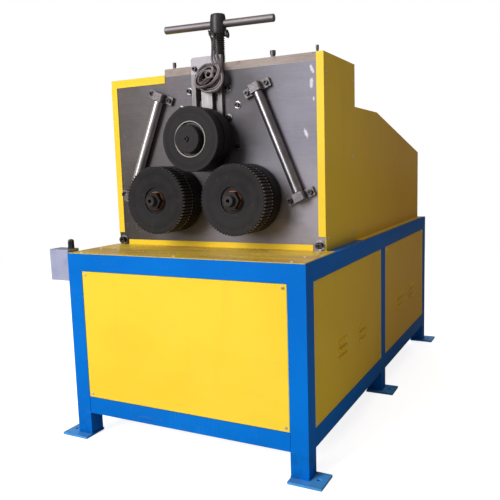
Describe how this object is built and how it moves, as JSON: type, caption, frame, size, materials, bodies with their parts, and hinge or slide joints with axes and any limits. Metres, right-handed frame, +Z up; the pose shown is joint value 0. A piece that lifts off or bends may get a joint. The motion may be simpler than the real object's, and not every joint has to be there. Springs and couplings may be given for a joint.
{
  "type": "ring roller",
  "caption": "Floor-standing ring roller: geared lower rollers and a screw-fed upper roller on a ground face plate, guide rollers beside them, sheet covers on a panelled tube frame.",
  "frame": {"origin": "centre of the four corner feet's anchor holes, on the floor", "axes": "+Z up, -Y towards the working side with the rollers, +X to the right as seen from there"},
  "size_m": [1.034, 1.76, 1.484],
  "materials": {
    "bearing_cap": "blackened, turned",
    "bearing_plate": "ground",
    "bottom_rails": "gloss paint",
    "cable_coil": "dull",
    "cable_loop": "dull",
    "cap_bolt": "blackened",
    "control_box": "satin paint",
    "copper_washer_left": "copper, worn",
    "copper_washer_right": "copper, worn",
    "cross_bar": "drawn bar",
    "deck_beams": "gloss paint",
    "deck_tray": "gloss paint",
    "drive_gear_left": "milled, oiled",
    "drive_gear_right": "milled, oiled",
    "drive_motor": "hammered paint",
    "face_plate": "ground",
    "feed_nut": "turned bronze",
    "feed_screw": "oiled thread",
    "foot_plates": "gloss paint",
    "frame_posts": "gloss paint",
    "front_panel": "gloss paint",
    "gear_reducer": "hammered paint",
    "guide_brackets": "milled",
    "guide_cap": "ground",
    "guide_pins": "turned",
    "guide_rail_left": "ground",
    "guide_rail_right": "ground",
    "guide_roller_left": "ground",
    "guide_roller_right": "ground",
    "left_front_panel": "gloss paint",
    "left_rear_panel": "gloss paint",
    "left_side_cover": "gloss paint",
    "left_top_cover": "gloss paint",
    "lower_roller_left": "blackened, turned",
    "lower_roller_right": "blackened, turned",
    "pinion_shaft": "milled, oiled",
    "plate_washers": "zinc",
    "rear_hood": "gloss paint",
    "rear_panel": "gloss paint",
    "right_front_panel": "gloss paint",
    "right_rear_panel": "gloss paint",
    "right_side_cover": "gloss paint",
    "roller_shaft_left": "turned",
    "roller_shaft_right": "turned",
    "screw_head": "blackened, turned",
    "screw_keeper": "ground",
    "selector_knob": "satin",
    "shaft_bearings": "cast",
    "shaft_nut_left": "blackened",
    "shaft_nut_right": "blackened",
    "sheet_screws": "paint",
    "slide_block": "ground",
    "socket_bolts": "blackened",
    "top_plate": "ground, faintly rusted",
    "top_rails_across": "gloss paint",
    "top_rails_along": "gloss paint",
    "upper_axle": "turned",
    "upper_bearings": "ground",
    "upper_roller": "blackened, turned"
  },
  "bodies": {
    "machine": {"bearing_plate": "bearing_plate", "bottom_rails": "bottom_rails", "control_box": "control_box", "deck_beams": "deck_beams", "deck_tray": "deck_tray", "drive_motor": "drive_motor", "face_plate": "face_plate", "feed_nut": "feed_nut", "foot_plates": "foot_plates", "frame_posts": "frame_posts", "front_panel": "front_panel", "gear_reducer": "gear_reducer", "guide_brackets": "guide_brackets", "guide_cap": "guide_cap", "guide_pins": "guide_pins", "guide_rail_left": "guide_rail_left", "guide_rail_right": "guide_rail_right", "left_front_panel": "left_front_panel", "left_rear_panel": "left_rear_panel", "left_side_cover": "left_side_cover", "left_top_cover": "left_top_cover", "plate_washers": "plate_washers", "rear_hood": "rear_hood", "rear_panel": "rear_panel", "right_front_panel": "right_front_panel", "right_rear_panel": "right_rear_panel", "right_side_cover": "right_side_cover", "shaft_bearings": "shaft_bearings", "sheet_screws": "sheet_screws", "socket_bolts": "socket_bolts", "top_plate": "top_plate", "top_rails_across": "top_rails_across", "top_rails_along": "top_rails_along"},
    "carriage": {"slide_block": "slide_block", "screw_keeper": "screw_keeper", "upper_axle": "upper_axle", "bearing_cap": "bearing_cap", "cap_bolt": "cap_bolt", "cable_coil": "cable_coil", "cable_loop": "cable_loop"},
    "feed_screw": {"feed_screw": "feed_screw", "screw_head": "screw_head", "cross_bar": "cross_bar"},
    "upper_roller": {"upper_roller": "upper_roller", "upper_bearings": "upper_bearings"},
    "left_roller": {"lower_roller_left": "lower_roller_left", "roller_shaft_left": "roller_shaft_left", "copper_washer_left": "copper_washer_left", "shaft_nut_left": "shaft_nut_left", "drive_gear_left": "drive_gear_left"},
    "right_roller": {"lower_roller_right": "lower_roller_right", "roller_shaft_right": "roller_shaft_right", "copper_washer_right": "copper_washer_right", "shaft_nut_right": "shaft_nut_right", "drive_gear_right": "drive_gear_right"},
    "pinion": {"pinion_shaft": "pinion_shaft"},
    "left_guide": {"guide_roller_left": "guide_roller_left"},
    "right_guide": {"guide_roller_right": "guide_roller_right"},
    "selector": {"selector_knob": "selector_knob"}
  },
  "joints": [
    {"name": "feed_slide", "type": "slide", "parent": "machine", "child": "carriage", "axis": [0, 0, 1], "range_m": [-0.0301, 0.0551]},
    {"name": "screw_turn", "type": "hinge", "parent": "carriage", "child": "feed_screw", "pos_m": [-0.008, -0.498, 1.3], "axis": [0, 0, 1], "range_deg": [-1542.86, 2828.57]},
    {"name": "upper_spin", "type": "hinge", "parent": "carriage", "child": "upper_roller", "pos_m": [-0.008, -0.67, 1.044], "axis": [0, 1, 0], "continuous": true},
    {"name": "left_spin", "type": "hinge", "parent": "machine", "child": "left_roller", "pos_m": [-0.1605, -0.65, 0.841], "axis": [0, 1, 0], "continuous": true},
    {"name": "right_spin", "type": "hinge", "parent": "machine", "child": "right_roller", "pos_m": [0.1445, -0.65, 0.841], "axis": [0, 1, 0], "continuous": true},
    {"name": "pinion_spin", "type": "hinge", "parent": "machine", "child": "pinion", "pos_m": [-0.008, -0.3, 0.841], "axis": [0, 1, 0], "continuous": true},
    {"name": "left_guide_spin", "type": "hinge", "parent": "machine", "child": "left_guide", "pos_m": [-0.2745, -0.6, 1.0255], "axis": [0.3833, 0, 0.9236], "continuous": true},
    {"name": "right_guide_spin", "type": "hinge", "parent": "machine", "child": "right_guide", "pos_m": [0.2585, -0.6, 1.0255], "axis": [-0.3833, 0, 0.9236], "continuous": true},
    {"name": "selector_turn", "type": "hinge", "parent": "machine", "child": "selector", "pos_m": [-0.464, -0.814, 0.69], "axis": [0, 0, 1], "range_deg": [-45, 45]}
  ],
  "couplings": [
    {"joint": "feed_slide", "follows": "screw_turn", "m_per_rad": 0.0011141},
    {"joint": "right_spin", "follows": "left_spin", "ratio": 1},
    {"joint": "pinion_spin", "follows": "left_spin", "ratio": -2.5882}
  ]
}
